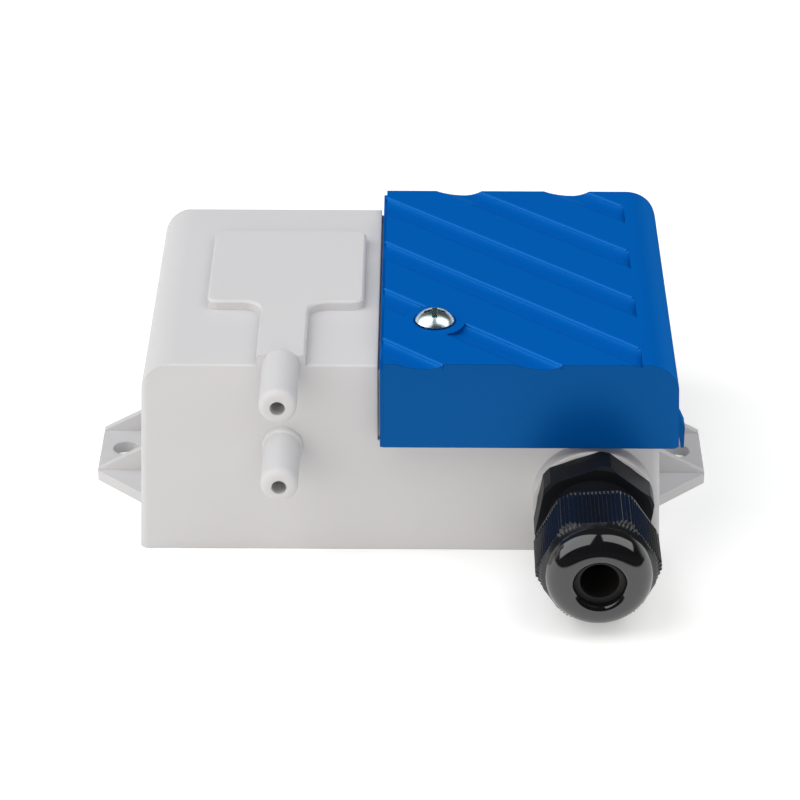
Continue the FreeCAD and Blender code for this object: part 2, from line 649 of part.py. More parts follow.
claw_end = gland_face - s.hex_thick - s.thread_out - s.claw_length
seal_face = claw_end - 1
seal_back = seal_face + s.seal_length
nut_back = gland_face - s.nut_start
nut_shoulder = nut_back - s.nut_grip - s.nut_taper
nut_tip = nut_shoulder - s.dome_round


def build_gland_seal():
    seal = new_body("gland_seal", gland_place, 0, s.gland_high)
    turn(seal, "Revolution", "ring", "YZ", "H_Axis", [
        (seal_back - s.slack, s.seal_bore / 2 + 0.4), (seal_back - s.slack, s.seal_size / 2),
        (seal_face, s.seal_size / 2), (seal_face, s.seal_bore / 2),
        (seal_back - s.slack - 0.8, s.seal_bore / 2)])
    return seal


def build_gland_gasket():
    ring = new_body("gland_gasket", gland_place, gland_face + s.running, s.gland_high)
    inner = s.gland_thread + 4 * s.running
    pad(ring, "ring", "XZ", 0, s.ring_thick, circles=[
        (0, 0, inner), (0, 0, inner + 2 * s.ring_thick)])
    return ring


def build_gland_nut():
    # A hexagonal nut whose corners are turned down, a short taper and a dome; threaded inside.
    nut = new_body("gland_nut", gland_place, 0, s.gland_high)
    corners = s.nut_corners / 2
    base = s.dome_base / 2
    lip = s.nut_mouth / 2
    turn(nut, "Revolution", "form", "YZ", "H_Axis", [
        (nut_tip, 0), (nut_back, 0), (nut_back, corners - 0.5), (nut_back - 0.6, corners),
        (nut_shoulder + s.nut_taper, corners), (nut_shoulder, base, s.dome_round, "left"),
        (nut_tip, base - s.dome_round)])
    pocket(nut, "flats", "XZ", nut_tip - 1, nut_back + 1,
           [hexagon(s.hex_flats, s.nut_turn.value)], circles=[(0, 0, s.nut_corners + 4)])

    thread = s.gland_thread / 2 + s.running
    thread_end = gland_face - s.hex_thick - s.thread_out - 0.6
    inside = seal_face - s.fit_gap
    throat = s.claw_root / 2 + s.slack + 0.1
    narrow = s.claw_tip / 2 + s.slack
    turn(nut, "Groove", "hollow", "YZ", "H_Axis", [
        (nut_back + 1, 0), (nut_back + 1, thread), (thread_end, thread), (thread_end, throat),
        (claw_end - 0.3, narrow + 0.1), (inside, narrow), (inside, lip), (nut_tip + 0.5, lip),
        (nut_tip, lip + 0.5), (nut_tip - 1, lip + 0.5), (nut_tip - 1, 0)])
    return nut


# ---- the pressure cell: rubber film, stiff disc, clamp ring, ceramic beam

def build_film():
    film = new_body("diaphragm", port_place, s.head_place, film_low)
    bead, thin = s.film_bead, s.film_thick
    outside = s.cell_size / 2 + s.cell_wall - s.fit_gap
    clamp_in = s.cell_size / 2 - s.fit_gap
    fold = clamp_in - 0.6 - s.film_roll
    foot, crest = s.film_roll, s.film_roll / 2
    turn(film, "Revolution", "sheet", "XZ", "V_Axis", [
        (0, 0), (fold - foot, 0), (fold - crest, crest), (fold + crest, crest), (fold + foot, 0),
        (outside, 0), (outside, bead), (clamp_in, bead), (clamp_in, thin), (fold + foot, thin),
        (fold + crest, crest + thin), (fold - crest, crest + thin), (fold - foot, thin), (0, thin)])
    return film


def build_disc():
    disc = new_body("diaphragm_plate", port_place, s.head_place, film_low)
    radius = s.disc_size / 2
    pin = s.pin_size / 2
    base = -s.disc_thick
    turn(disc, "Revolution", "form", "XZ", "V_Axis", [
        (0, pin_low - film_low), (pin, pin_low - film_low), (pin, base - 0.6), (pin + 0.6, base),
        (radius, base), (radius, 0), (0, 0)])
    return disc


def build_cell_clamp():
    clamp = new_body("diaphragm_clamp")
    pad(clamp, "ring", "XY", clamp_low, film_low, circles=[
        (port_place, s.head_place, cell_rim), ])
    pad(clamp, "ears", "XY", clamp_low, film_low, circles=[
        (x, y, s.post_size) for x, y in cell_screws])
    pad(clamp, "ear_spacers", "XY", film_low, ceiling - s.cell_depth, circles=[
        (x, y, s.small_screw + 3 * s.slack) for x, y in cell_screws])
    pocket(clamp, "window", "XY", clamp_low - 1, film_low + 1, circles=[
        (port_place, s.head_place, s.cell_size - 0.6)])
    pocket(clamp, "holes", "XY", clamp_low - 1, ceiling, circles=[
        (x, y, s.small_screw + 2 * s.running) for x, y in cell_screws])
    return clamp


def small_screws(label, places, seat, length, upward):
    # Identical pan-head screws; each shank points away from its seat, up or down.
    screws = new_body(label)
    head, thick = s.small_head, s.small_head_thick
    low, high = (seat - thick, seat) if upward else (seat, seat + thick)
    end_low, end_high = (seat, seat + length) if upward else (seat - length, seat)
    heads = pad(screws, "heads", "XY", low, high, circles=[(x, y, head) for x, y in places])
    shanks = pad(screws, "shanks", "XY", end_low, end_high, circles=[
        (x, y, s.small_screw) for x, y in places])
    slot = s.small_head / 10
    face_low, face_high = (low - 1, low + thick / 2) if upward else (high - thick / 2, high + 1)
    arm = head * 0.32
    pocket(screws, "slots_a", "XY", face_low, face_high, [
        box(x - arm, x + arm, y - slot, y + slot) for x, y in places])
    pocket(screws, "slots_b", "XY", face_low, face_high, [
        box(x - slot, x + slot, y - arm, y + arm) for x, y in places])
    return screws


def build_beam():
    beam = new_body("ceramic_beam")
    half = s.beam_width / 2
    pad(beam, "strip", "XY", pin_low - s.beam_thick, pin_low, [
        box(port_place - s.beam_tail, beam_end, s.head_place - half, s.head_place + half)])
    return beam


def build_beam_seal():
    seal = new_body("beam_seal")
    half = s.beam_width / 2
    middle = pin_low - s.beam_thick / 2
    side, rise = half + s.seal_wall, s.beam_thick / 2 + s.seal_wall
    pad(seal, "block", "YZ", cell_right, room_left, [
        box(s.head_place - side, s.head_place + side, middle - rise, middle + rise)])
    pad(seal, "flange", "YZ", room_left, room_left + s.seal_wall, [
        box(s.head_place - side - 1, s.head_place + side + 1, middle - rise - 1, middle + rise + 1)])
    pocket(seal, "slit", "YZ", cell_right - 1, room_left + s.seal_wall + 1, [
        box(s.head_place - half, s.head_place + half, pin_low - s.beam_thick, pin_low)])
    return seal


def build_strip():
    # Thin conductor strip from the beam's end down to the board.
    strip = new_body("sensor_strip")
    thick = s.strip_thick
    top = pin_low - s.beam_thick
    right = beam_end
    bend = s.strip_bend
    inside = bend - thick
    foot = board_left + s.standoff_size + 1
    outer, turned = right + bend, right + bend + inside
    pad(strip, "band", "XZ", s.head_place - s.strip_width / 2, s.head_place + s.strip_width / 2, [[
        (right - s.strip_lap, top), (right - s.strip_lap, top - thick),
        (right, top - thick, inside, "right"), (outer - thick, top - bend),
        (outer - thick, board_top + bend, bend, "left"), (turned, board_top),
        (foot + s.strip_lap, board_top), (foot + s.strip_lap, board_top + thick),
        (turned, board_top + thick, inside, "right"), (outer, board_top + bend),
        (outer, top - bend, bend, "left"), (right, top)]])
    return strip


# ---- the back plate

def plate_outline(inset):
    spread = s.plate_ledge - inset
    return box(cell_left - spread, cell_right + spread, cell_front - spread, cell_back + spread)


def build_back_plate():
    plate = new_body("back_plate")
    pad(plate, "sheet", "XY", s.plate_sink, plate_top, [plate_outline(s.fit_gap)])
    pocket(plate, "head_wells", "XY", s.plate_sink - 1, s.plate_sink + s.small_head_thick, circles=[
        (x, y, s.small_head + 2 * s.fit_gap) for x, y in posts])
    pocket(plate, "holes", "XY", 0, plate_top + 1, circles=[
        (x, y, s.small_screw + 2 * s.fit_gap) for x, y in posts])
    return plate


def build_plate_gasket():
    gasket = new_body("back_plate_gasket")
    pad(gasket, "sheet", "XY", plate_top, ledge, [
        plate_outline(s.fit_gap), plate_outline(s.plate_ledge + 1.2)])
    pad(gasket, "eyes", "XY", plate_top, ledge, circles=[
        (x, y, s.post_size) for x, y in posts])
    pocket(gasket, "holes", "XY", plate_top - 1, ledge + 1, circles=[
        (x, y, s.small_screw + 2 * s.fit_gap) for x, y in posts])
    return gasket


# ---- the circuit board, its parts and the rising-cage terminals

poles = [board_mid + s.terminal_shift + (i - 1) * s.pole_pitch for i in range(3)]
cage_front = terminal_front + s.terminal_wall + s.running * 2
cage_mid = cage_front + s.cage_width / 2
cage_low = board_top + s.terminal_wall + 0.4
tongue_top = cage_low + s.cage_height - s.cage_top - 0.7
screw_seat = cage_low + s.cage_height + s.cage_lift + 1.7
leg_back = terminal_front + s.terminal_depth - s.terminal_wall - s.running * 2


def build_board():
    board = new_body("circuit_board")
    pad(board, "sheet", "XY", s.board_low, board_top, [
        box(board_left, board_right, board_front, board_back)])
    holes = [(x, y, s.small_screw + 2 * s.fit_gap) for x, y in standoffs]
    holes += [(x, leg_back - s.tongue_thick / 2, s.tongue_thick * 2.4) for x in poles]
    pocket(board, "holes", "XY", s.board_low - 1, board_top + 1, circles=holes)
    return board


def build_terminal_block():
    block = new_body("terminal_block")
    left, right = poles[0] - s.pole_pitch / 2, poles[2] + s.pole_pitch / 2
    top = board_top + s.terminal_height
    back = terminal_front + s.terminal_depth
    wide = s.cage_length / 2 + s.running * 2
    pad(block, "body", "XY", board_top, top, [box(left, right, terminal_front, back)])
    cut_back = back - s.terminal_wall
    for i, x in enumerate(poles):
        pocket(block, f"cavity_{i}", "XY", cage_low - s.running * 2,
               cage_low + s.cage_height + s.cage_lift + 0.3,
               [box(x - wide, x + wide, terminal_front + s.terminal_wall, cut_back)])
    opening = s.cage_length / 2 - s.cage_wall
    pocket(block, "wire_mouths", "XZ", terminal_front - 1, terminal_front + s.terminal_wall + 1, [
        box(x - opening, x + opening, cage_low + s.cage_wall, tongue_top) for x in poles])
    pocket(block, "driver_wells", "XY", screw_seat, top + 1, circles=[
        (x, cage_mid, s.clamp_head + 2 * s.running) for x in poles])
    pocket(block, "shank_holes", "XY", cage_low + s.cage_height, screw_seat + 1, circles=[
        (x, cage_mid, s.clamp_screw + 2 * s.fit_gap) for x in poles])
    leg = s.cage_length / 2 - s.cage_wall - s.running * 2
    pocket(block, "leg_slots", "XY", board_top - 1, cage_low + 1, [
        box(x - leg - 0.1, x + leg + 0.1, leg_back - s.tongue_thick - 0.1, leg_back + 0.1)
        for x in poles])
    return block


def build_contact(number, x):
    # A tongue that reaches into the cage and a leg that goes down through the board.
    contact = new_body(f"terminal_contact_{number}", x)
    half = s.cage_length / 2 - s.cage_wall - s.running * 2
    thick = s.tongue_thick
    pad(contact, "tongue", "YZ", -half, half, [[
        (cage_front, tongue_top - thick), (leg_back - thick, tongue_top - thick),
        (leg_back - thick, board_top), (leg_back, board_top), (leg_back, tongue_top),
        (cage_front, tongue_top)]])
    pad(contact, "pin", "XY", s.board_low - 1.2, board_top + 0.2, [
        box(-thick / 2, thick / 2, leg_back - thick, leg_back)])
    return contact


def build_cage(number, x):
    cage = new_body(f"terminal_cage_{number}", x, cage_mid, cage_low)
    half, depth = s.cage_length / 2, s.cage_width / 2
    pad(cage, "block", "XY", 0, s.cage_height, [box(-half, half, -depth, depth)])
    pocket(cage, "window", "XZ", -depth - 1, depth + 1, [
        box(s.cage_wall - half, half - s.cage_wall, s.cage_wall, s.cage_height - s.cage_top)])
    pocket(cage, "screw_hole", "XY", s.cage_height - s.cage_top - 0.2, s.cage_height + 1, circles=[
        (0, 0, s.clamp_screw + 2 * s.running)])
    return cage


def build_clamp_screw(number, x):
    screw = new_body(f"terminal_screw_{number}", x, cage_mid, screw_seat)
    pad(screw, "head", "XY", 0, s.clamp_head_thick, circles=[(0, 0, s.clamp_head)])
    pad(screw, "shank", "XY", tongue_top - screw_seat + s.running, 0.1, circles=[
        (0, 0, s.clamp_screw)])
    slot = s.clamp_head / 12
    pocket(screw, "slot", "XY", s.clamp_head_thick / 2, s.clamp_head_thick + 1, [
        box(-s.clamp_head, s.clamp_head, -slot, slot)])
    return screw


def build_chip():
    chip = new_body("signal_chip", board_mid - s.chip_shift, board_deep + s.chip_shift, board_top)
    half, depth = s.chip_length / 2, s.chip_width / 2
    lift = 0.2
    pad(chip, "body", "XY", lift, s.chip_thick + lift, [box(-half, half, -depth, depth)])
    pitch = s.chip_length / 7
    legs = []
    for i in range(7):
        x = (i - 3) * pitch
        legs.append(box(x - 0.2, x + 0.2, depth - 0.3, depth + 1))
        legs.append(box(x - 0.2, x + 0.2, -depth - 1, 0.3 - depth))
    pad(chip, "legs", "XY", 0, s.chip_thick / 2, legs)
    return chip


def build_can():
    can = new_body("smoothing_capacitor", board_mid + s.can_shift, board_deep + s.can_step, board_top)
    radius = s.can_size / 2
    base = radius + 0.15
    pad(can, "foot", "XY", 0, 0.8, [box(-base, base, -base, base)])
    turn(can, "Revolution", "can", "XZ", "V_Axis", [
        (0, 0.5), (radius, 0.5), (radius, s.can_height - 0.4), (radius - 0.4, s.can_height),
        (0, s.can_height)])
    return can


parts = [
    build_case(), build_lid(), build_lid_gasket(), build_lid_screw(), build_retainer(),
    build_gland_body(), build_gland_seal(), build_gland_gasket(), build_gland_nut(),
    build_film(), build_disc(), build_cell_clamp(),
    small_screws("diaphragm_screws", cell_screws, clamp_low, s.clamp_thick + s.cell_screw_bite, True),
    build_beam(), build_beam_seal(), build_strip(),
    build_back_plate(), build_plate_gasket(),
    small_screws("back_plate_screws", posts, s.plate_sink + s.small_head_thick,
                 s.plate_screw_length, True),
    build_board(), build_terminal_block(), build_chip(), build_can(),
    small_screws("board_screws", standoffs, board_top, s.board_thick + s.board_screw_bite, False),
]
for number, x in enumerate(poles, 1):
    parts.append(build_contact(number, x))
    parts.append(build_cage(number, x))
    parts.append(build_clamp_screw(number, x))

doc.recompute()
for item in doc.Objects:
    broken = [state for state in item.State if state in ("Invalid", "Error")]
    if broken:
        raise RuntimeError(f"{item.Label} is {broken}")
os.makedirs("parts", exist_ok=True)
for part in parts:
    if part.Shape.isNull() or not part.Shape.isValid():
        raise RuntimeError(f"{part.Label} has no valid shape")
    print(part.Label, len(part.Shape.Solids), round(part.Shape.Volume, 2))
for part in parts:
    part.Shape.exportStep(f"parts/{part.Label}.step")
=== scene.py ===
import json
import math

import bmesh
import bpy
from mathutils import Matrix, Vector


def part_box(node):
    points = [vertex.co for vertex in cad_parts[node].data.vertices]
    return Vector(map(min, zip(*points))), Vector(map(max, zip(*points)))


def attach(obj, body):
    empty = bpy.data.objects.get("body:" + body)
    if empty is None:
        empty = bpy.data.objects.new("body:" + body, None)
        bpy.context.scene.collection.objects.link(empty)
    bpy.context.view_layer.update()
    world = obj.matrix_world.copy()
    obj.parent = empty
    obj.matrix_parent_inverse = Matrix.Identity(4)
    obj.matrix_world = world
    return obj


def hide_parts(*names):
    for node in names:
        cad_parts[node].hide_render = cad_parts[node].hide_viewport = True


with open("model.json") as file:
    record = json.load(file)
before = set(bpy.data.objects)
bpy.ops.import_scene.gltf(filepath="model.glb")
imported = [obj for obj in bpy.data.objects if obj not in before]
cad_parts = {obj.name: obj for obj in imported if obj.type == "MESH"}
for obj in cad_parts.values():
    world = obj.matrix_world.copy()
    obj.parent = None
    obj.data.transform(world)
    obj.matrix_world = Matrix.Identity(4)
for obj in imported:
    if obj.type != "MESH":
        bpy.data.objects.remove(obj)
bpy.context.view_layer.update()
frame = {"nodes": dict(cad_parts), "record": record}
record = frame["record"]

# metres, degrees, and millimetres for the lens and sensor
cameraView = {
    "place": (0.0032, -0.49329, 0.2915),
    "lookDown": 29.5,
    "turn": 0.4,
    "lean": 0.09,
    "lens": 141.75,
    "sensor": 36.0,
    "clip": (0.01, 20.0),
}


def makeCamera(view):
    data = bpy.data.cameras.new("camera")
    data.lens = view["lens"]
    data.sensor_width = view["sensor"]
    data.clip_start, data.clip_end = view["clip"]
    camera = bpy.data.objects.new("camera", data)
    bpy.context.collection.objects.link(camera)
    turn = Matrix.Rotation(math.radians(view["turn"]), 4, "Z")
    tip = Matrix.Rotation(math.radians(90 - view["lookDown"]), 4, "X")
    lean = Matrix.Rotation(math.radians(view["lean"]), 4, "Z")
    camera.matrix_world = Matrix.Translation(view["place"]) @ turn @ tip @ lean
    bpy.context.scene.camera = camera


makeCamera(cameraView)
print("camera made")


def mathNode(tree, kind, *values):
    # each value is a number or a socket
    node = tree.nodes.new("ShaderNodeMath")
    node.operation = kind
    for socket, value in zip(node.inputs, values):
        if isinstance(value, (int, float)):
            socket.default_value = value
        else:
            tree.links.new(value, socket)
    return node.outputs[0]


def smoothStep(tree, value, low, high, start, end):
    # from start to end as the value goes from low to high
    ramp = tree.nodes.new("ShaderNodeMapRange")
    ramp.interpolation_type = "SMOOTHSTEP"
    ramp.inputs["From Min"].default_value, ramp.inputs["From Max"].default_value = low, high
    ramp.inputs["To Min"].default_value, ramp.inputs["To Max"].default_value = start, end
    tree.links.new(value, ramp.inputs["Value"])
    return ramp.outputs[0]


studio = {
    "worldLight": 0.31,
    "floorColour": (0.84, 0.84, 0.83, 1),
    "floorReach": 8.0,
    "floorLift": 0.34,
    "tableEdge": (-0.17, -0.12),  # between these the floor fades out of the gloss
    "pastTable": 0.01,
    # for the direction that a reflection looks in: low end, high end, and the white at each
    "sweepBehind": (0.0, 0.4, 0.03, 1.0),
    "sweepLow": (0.05, 0.38, 1.0, 0.04),
    "panels": {
        "leftPanel": {"direction": (-0.66, -0.06, 0.75), "distance": 1.0, "lean": -25,
                      "size": (1.00, 1.32), "watts": 7.9, "tint": (0.985, 0.99, 1.0), "shows": True},
        "rightPanel": {"direction": (0.565, -0.085, 0.82), "distance": 1.0, "lean": -72,
                       "size": (1.06, 0.65), "watts": 4.1, "tint": (0.985, 0.99, 1.0), "shows": True},
        "frontFill": {"direction": (-0.20, -0.95, 0.23), "distance": 1.2, "lean": 0,
                      "size": (1.30, 0.50), "watts": 5.2, "tint": (1.0, 0.95, 0.87), "shows": False},
    },
}


def seenRays(tree):
    rays = tree.nodes.new("ShaderNodeLightPath")
    total = rays.outputs["Is Camera Ray"]
    for kind in ("Is Glossy Ray", "Is Transmission Ray"):
        total = mathNode(tree, "MAXIMUM", total, rays.outputs[kind])
    return total


def backdropShade(tree, values):
    # white to the eye everywhere; in reflections a low white sweep behind and a dark room in front
    rays = tree.nodes.new("ShaderNodeLightPath")
    direction = tree.nodes.new("ShaderNodeTexCoord")
    split = tree.nodes.new("ShaderNodeSeparateXYZ")
    tree.links.new(direction.outputs["Generated"], split.inputs[0])
    behind = smoothStep(tree, split.outputs["Y"], *values["sweepBehind"])
    low = smoothStep(tree, split.outputs["Z"], *values["sweepLow"])
    mirrored = mathNode(tree, "MULTIPLY", behind, low)
    return mathNode(tree, "MAXIMUM", rays.outputs["Is Camera Ray"], mirrored)


def makeSky(values):
    world = bpy.data.worlds.new("studioWorld")
    bpy.context.scene.world = world
    world.use_nodes = True
    nodes, links = world.node_tree.nodes, world.node_tree.links
    nodes.clear()
    out = nodes.new("ShaderNodeOutputWorld")
    lightSky = nodes.new("ShaderNodeBackground")
    lightSky.inputs["Strength"].default_value = values["worldLight"]
    whiteSky = nodes.new("ShaderNodeBackground")
    mix = nodes.new("ShaderNodeMixShader")
    links.new(seenRays(world.node_tree), mix.inputs[0])
    links.new(backdropShade(world.node_tree, values), whiteSky.inputs["Strength"])
    links.new(lightSky.outputs[0], mix.inputs[1])
    links.new(whiteSky.outputs[0], mix.inputs[2])
    links.new(mix.outputs[0], out.inputs[0])
    for sky in (lightSky, whiteSky):
        sky.inputs["Color"].default_value = (1, 1, 1, 1)


def makePanel(name, panel):
    # a soft lamp that faces the object
    data = bpy.data.lights.new(name, "AREA")
    data.shape, data.energy, data.color = "RECTANGLE", panel["watts"], panel["tint"]
    data.size, data.size_y = panel["size"]
    lamp = bpy.data.objects.new(name, data)
    bpy.context.collection.objects.link(lamp)
    direction = Vector(panel["direction"])
    lamp.location = direction.normalized() * panel["distance"]
    facing = (-direction).to_track_quat("-Z", "Y").to_matrix()
    lean = Matrix.Rotation(math.radians(panel["lean"]), 3, "Z")
    lamp.rotation_euler = (facing @ lean).to_euler()
    lamp.visible_glossy = panel["shows"]  # the fill only softens the shade


def makeFloor(values):
    reach = values["floorReach"]
    mesh = bpy.data.meshes.new("floor")
    mesh.from_pydata([(-reach, -reach, 0), (reach, -reach, 0), (reach, reach, 0), (-reach, reach, 0)],
                     [], [(0, 1, 2, 3)])
    floor = bpy.data.objects.new("floor", mesh)
    bpy.context.collection.objects.link(floor)
    material = bpy.data.materials.new("paleFloor")
    material.use_nodes = True
    tree = material.node_tree
    nodes, links = tree.nodes, tree.links
    nodes.clear()
    out = nodes.new("ShaderNodeOutputMaterial")
    paint = nodes.new("ShaderNodeBsdfDiffuse")
    paint.inputs["Color"].default_value = values["floorColour"]
    lift = nodes.new("ShaderNodeEmission")
    seen = mathNode(tree, "MULTIPLY", seenRays(tree), values["floorLift"])
    links.new(seen, lift.inputs["Strength"])
    both = nodes.new("ShaderNodeAddShader")
    links.new(paint.outputs[0], both.inputs[0])
    links.new(lift.outputs[0], both.inputs[1])

    # gloss sees only the near part of the floor in front, as on a table with an edge
    spot = nodes.new("ShaderNodeTexCoord")
    split = nodes.new("ShaderNodeSeparateXYZ")
    links.new(spot.outputs["Object"], split.inputs[0])
    past = smoothStep(tree, split.outputs["Y"], *values["tableEdge"], 1.0, 0.0)
    glossy = nodes.new("ShaderNodeLightPath").outputs["Is Glossy Ray"]
    dark = nodes.new("ShaderNodeEmission")
    dark.inputs["Strength"].default_value = values["pastTable"]
    choose = nodes.new("ShaderNodeMixShader")
    links.new(mathNode(tree, "MULTIPLY", glossy, past), choose.inputs[0])
    links.new(both.outputs[0], choose.inputs[1])
    links.new(dark.outputs[0], choose.inputs[2])
    links.new(choose.outputs[0], out.inputs[0])
    mesh.materials.append(material)


makeSky(studio)
for name, panel in studio["panels"].items():
    makePanel(name, panel)
makeFloor(studio)
print("studio made")

# drift is a second tint in soft patches, grain the size and depth of the fine texture, mirror the
# shine, and edge how far the edges are rounded; sizes are in metres
finishes = {
    "case_grey": {
        "colour": (0.64, 0.635, 0.645), "drift": (0.62, 0.615, 0.625), "driftSize": 0.03,
        "rough": 0.44, "roughSpread": 0.05, "mirror": 0.30, "metal": 0,
        "grain": 0.00022, "depth": 0.000005, "edge": 0.00035},
    "lid_blue": {
        "colour": (0.0, 0.095, 0.402), "drift": (0.0, 0.090, 0.385), "driftSize": 0.03,
        "rough": 0.30, "roughSpread": 0.03, "mirror": 0.0, "metal": 0,
        "grain": 0.00020, "depth": 0.000002, "edge": 0.00022},
    "gland_black": {
        "colour": (0.007, 0.008, 0.010), "drift": (0.009, 0.010, 0.012), "driftSize": 0.01,
        "rough": 0.40, "roughSpread": 0.05, "mirror": 0.13, "metal": 0,
        "grain": 0.0003, "depth": 0.000001, "edge": 0.00020},
    "gland_gloss": {
        "colour": (0.006, 0.006, 0.007), "drift": (0.008, 0.008, 0.009), "driftSize": 0.01,
        "rough": 0.09, "roughSpread": 0.02, "mirror": 1.0, "metal": 0,
        "grain": 0.0003, "depth": 0.000001, "edge": 0.00012},
    "rib_black": {
        "colour": (0.007, 0.008, 0.010), "drift": (0.009, 0.010, 0.012), "driftSize": 0.01,
        "rough": 0.22, "roughSpread": 0.04, "mirror": 0.55, "metal": 0,
        "grain": 0.0003, "depth": 0.000001, "edge": 0.00006},
    "rubber_black": {
        "colour": (0.016, 0.015, 0.015), "drift": (0.020, 0.019, 0.019), "driftSize": 0.008,
        "rough": 0.60, "roughSpread": 0.08, "mirror": 0.30, "metal": 0,
        "grain": 0.0003, "depth": 0.00001, "edge": 0.0001},
    "zinc_screw": {
        "colour": (0.74, 0.83, 0.84), "drift": (0.62, 0.74, 0.76), "driftSize": 0.0015,
        "rough": 0.27, "roughSpread": 0.06, "mirror": 0.5, "metal": 1,
        "grain": 0.0002, "depth": 0.000003, "edge": 0.0001},
    "washer_white": {
        "colour": (0.82, 0.82, 0.79), "drift": (0.78, 0.78, 0.75), "driftSize": 0.01,
        "rough": 0.45, "roughSpread": 0.05, "mirror": 0.4, "metal": 0,
        "grain": 0.0002, "depth": 0.000004, "edge": 0.0001},
    "clamp_white": {
        "colour": (0.76, 0.76, 0.73), "drift": (0.72, 0.72, 0.69), "driftSize": 0.01,
        "rough": 0.45, "roughSpread": 0.05, "mirror": 0.4, "metal": 0,
        "grain": 0.0002, "depth": 0.000004, "edge": 0.0002},
    "ceramic": {
        "colour": (0.85, 0.84, 0.79), "drift": (0.80, 0.79, 0.74), "driftSize": 0.006,
        "rough": 0.30, "roughSpread": 0.05, "mirror": 0.5, "metal": 0,
        "grain": 0.0001, "depth": 0.000002, "edge": 0.0001},
    "strip_amber": {
        "colour": (0.60, 0.28, 0.04), "drift": (0.52, 0.22, 0.03), "driftSize": 0.004,
        "rough": 0.25, "roughSpread": 0.05, "mirror": 0.5, "metal": 0,
        "grain": 0.0002, "depth": 0.000002, "edge": 0.00005},
    "board_green": {
        "colour": (0.015, 0.17, 0.06), "drift": (0.01, 0.13, 0.045), "driftSize": 0.006,
        "rough": 0.30, "roughSpread": 0.05, "mirror": 0.5, "metal": 0,
        "grain": 0.0002, "depth": 0.000003, "edge": 0.0001},
    "terminal_green": {
        "colour": (0.04, 0.29, 0.11), "drift": (0.035, 0.25, 0.095), "driftSize": 0.01,
        "rough": 0.42, "roughSpread": 0.05, "mirror": 0.4, "metal": 0,
        "grain": 0.0002, "depth": 0.000004, "edge": 0.0002},
    "contact_tin": {
        "colour": (0.76, 0.76, 0.75), "drift": (0.68, 0.68, 0.67), "driftSize": 0.002,
        "rough": 0.28, "roughSpread": 0.08, "mirror": 0.5, "metal": 1,
        "grain": 0.0001, "depth": 0.000002, "edge": 0.0001},
    "chip_black": {
        "colour": (0.018, 0.018, 0.018), "drift": (0.024, 0.024, 0.024), "driftSize": 0.002,
        "rough": 0.50, "roughSpread": 0.05, "mirror": 0.4, "metal": 0,
        "grain": 0.0001, "depth": 0.000003, "edge": 0.0001},
    "can_metal": {
        "colour": (0.78, 0.78, 0.78), "drift": (0.72, 0.72, 0.72), "driftSize": 0.002,
        "rough": 0.25, "roughSpread": 0.06, "mirror": 0.5, "metal": 1,
        "grain": 0.0001, "depth": 0.000002, "edge": 0.0001},
}


fineTexture = {
    "driftDetail": 3,
    "glossDetail": 4,
    "grainDetail": 2,
    "glossPatch": 12,  # grains across one patch of more or less gloss
    "edgeSamples": 6,
}


def makeFinish(name, look, texture):
    material = bpy.data.materials.new(name)
    material.use_nodes = True
    nodes, links = material.node_tree.nodes, material.node_tree.links
    shader = nodes["Principled BSDF"]
    shader.inputs["Metallic"].default_value = look["metal"]
    shader.inputs["Specular IOR Level"].default_value = look["mirror"]
    place = nodes.new("ShaderNodeTexCoord")

    def cloud(size, detail):
        noise = nodes.new("ShaderNodeTexNoise")
        noise.inputs["Scale"].default_value = 1 / size
        noise.inputs["Detail"].default_value = detail
        links.new(place.outputs["Object"], noise.inputs["Vector"])
        return noise.outputs["Fac"]

    tint = nodes.new("ShaderNodeMix")
    tint.data_type = "RGBA"
    tint.inputs["A"].default_value = (*look["colour"], 1)
    tint.inputs["B"].default_value = (*look["drift"], 1)
    links.new(cloud(look["driftSize"], texture["driftDetail"]), tint.inputs["Factor"])
    links.new(tint.outputs["Result"], shader.inputs["Base Color"])

    gloss = nodes.new("ShaderNodeMapRange")
    gloss.inputs["To Min"].default_value = look["rough"] - look["roughSpread"]
    gloss.inputs["To Max"].default_value = look["rough"] + look["roughSpread"]
    patches = cloud(look["grain"] * texture["glossPatch"], texture["glossDetail"])
    links.new(patches, gloss.inputs["Value"])
    links.new(gloss.outputs["Result"], shader.inputs["Roughness"])

    rounded = nodes.new("ShaderNodeBevel")
    rounded.samples = texture["edgeSamples"]
    rounded.inputs["Radius"].default_value = look["edge"]
    bump = nodes.new("ShaderNodeBump")
    bump.inputs["Strength"].default_value = 1.0
    bump.inputs["Distance"].default_value = look["depth"]
    links.new(cloud(look["grain"], texture["grainDetail"]), bump.inputs["Height"])
    links.new(rounded.outputs["Normal"], bump.inputs["Normal"])
    links.new(bump.outputs["Normal"], shader.inputs["Normal"])
    return material


lidPaintedShadeAndSheen = {
    # painted shade: the darker colour painted on the lid's sides in place of the shade they fall in
    "paintedShadeColour": (0.0, 0.052, 0.225, 1),
    "paintedShadeTilt": (0.10, 0.48),  # upward tilt of a face, from all painted shade colour to all top colour
    "sheen": (0.006, 0.040, 0.094, 1),
    "rough": 0.29,
}


